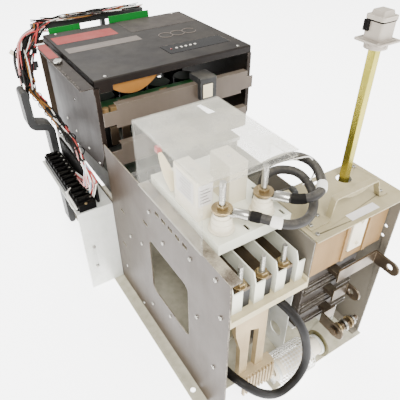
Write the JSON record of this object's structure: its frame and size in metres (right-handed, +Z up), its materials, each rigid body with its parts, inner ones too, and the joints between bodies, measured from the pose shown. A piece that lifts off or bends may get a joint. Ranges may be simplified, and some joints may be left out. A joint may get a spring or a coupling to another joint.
{
  "type": "open-chassis rotary air-break switch and drive unit",
  "caption": "Open sheet-metal chassis with a rotary air-break switch on a tall square shaft, stud terminals under a clear cover, and an electronic drive.",
  "frame": {"origin": "centre of the base plate's underside", "axes": "+Z up, +Y along the chassis from the terminal bay to the drive, +X from the left side plate to the switch module"},
  "size_m": [0.503, 0.902, 0.6979],
  "materials": {
    "grey_paint": "satin",
    "cream_paint": "satin",
    "light_paint": "satin",
    "zinc_sheet": "galvanised",
    "tan_board": "matte",
    "cream_plastic": "matte",
    "moulded_grey": "matte",
    "black_plastic": "matte",
    "copper": "bare",
    "tinned_copper": "tinned",
    "yellow_zinc": "yellow passivated",
    "bright_steel": "zinc plated",
    "grey_plastic": "matte",
    "brass": "plated",
    "cable_grey": "matte",
    "clear_plastic": "dusty",
    "cream_ceramic": "matte",
    "cast_metal": "cast",
    "brown_paint": "satin",
    "aluminium": "extruded",
    "drive_plastic": "satin",
    "green_board": "gloss"
  },
  "bodies": {
    "chassis": {"arc_plates": "zinc_sheet", "auxiliary_switch": "cream_plastic", "base_plate": "grey_paint", "busbars": "tinned_copper", "cable_glands": "grey_plastic", "cable_lugs": "tinned_copper", "cast_yoke": "cast_metal", "circuit_boards": "green_board", "clear_cover": "clear_plastic", "crossbars": "grey_paint", "divider_plate": "grey_paint", "drive_capacitors": "black_plastic", "drive_cover": "drive_plastic", "drive_side_walls": "brown_paint", "fan_frame": "black_plastic", "fibre_panel": "tan_board", "heat_sink": "aluminium", "latch_rail": "brown_paint", "left_side_plate": "grey_paint", "line_contacts": "tinned_copper", "load_contacts": "tinned_copper", "lower_cable": "cable_grey", "mechanism_frame": "zinc_sheet", "perforated_guard": "bright_steel", "phase_barriers": "light_paint", "plug_connector": "grey_plastic", "pole_housings": "moulded_grey", "power_cable_inner": "cable_grey", "power_cable_outer": "cable_grey", "pull_handle": "cream_paint", "rear_panel": "grey_paint", "relay_modules": "cream_plastic", "resistor_tube": "cream_ceramic", "right_side_plate": "grey_paint", "ring_cores": "cast_metal", "screws": "bright_steel", "shelf_pan": "cream_paint", "standoff_insulators": "cream_plastic", "stud_nuts": "brass", "stud_tray": "light_paint", "switch_bracket": "zinc_sheet", "switch_top_plate": "cream_paint", "terminal_blocks": "grey_plastic", "terminal_bracket": "zinc_sheet", "terminal_strip": "grey_plastic", "terminal_studs": "bright_steel", "tube_bands": "zinc_sheet", "wire_ducts": "grey_plastic"},
    "shaft": {"operating_shaft": "yellow_zinc", "shaft_crank": "bright_steel", "shaft_hub": "bright_steel", "coupling_flange": "bright_steel", "head_housing": "grey_plastic", "head_cap": "grey_plastic"},
    "rotor": {"contact_rotor": "black_plastic", "moving_blades": "copper", "rotor_crank": "bright_steel"},
    "link": {"coupling_link": "bright_steel"},
    "fan": {"fan_rotor": "black_plastic"},
    "knob": {"latch_knob": "bright_steel"}
  },
  "joints": [
    {"name": "shaft_turn", "type": "hinge", "parent": "chassis", "child": "shaft", "pos_m": [0.136, -0.328, 0.4], "axis": [0, 0, 1], "range_deg": [0, 90]},
    {"name": "rotor_turn", "type": "hinge", "parent": "chassis", "child": "rotor", "pos_m": [0.079, -0.328, 0.2], "axis": [0, 0, 1], "range_deg": [0, 90]},
    {"name": "link_swing", "type": "hinge", "parent": "shaft", "child": "link", "pos_m": [0.136, -0.306, 0.3], "axis": [0, 0, 1], "range_deg": [-90, 0]},
    {"name": "fan_spin", "type": "hinge", "parent": "chassis", "child": "fan", "pos_m": [-0.003, 0.325, 0.15], "axis": [0, 1, 0], "continuous": true},
    {"name": "latch_turn", "type": "hinge", "parent": "chassis", "child": "knob", "pos_m": [-0.213, 0.177, 0.528], "axis": [0, 0, 1], "range_deg": [0, 90]}
  ],
  "couplings": [
    {"joint": "rotor_turn", "follows": "shaft_turn", "ratio": 1},
    {"joint": "link_swing", "follows": "shaft_turn", "ratio": -1}
  ]
}
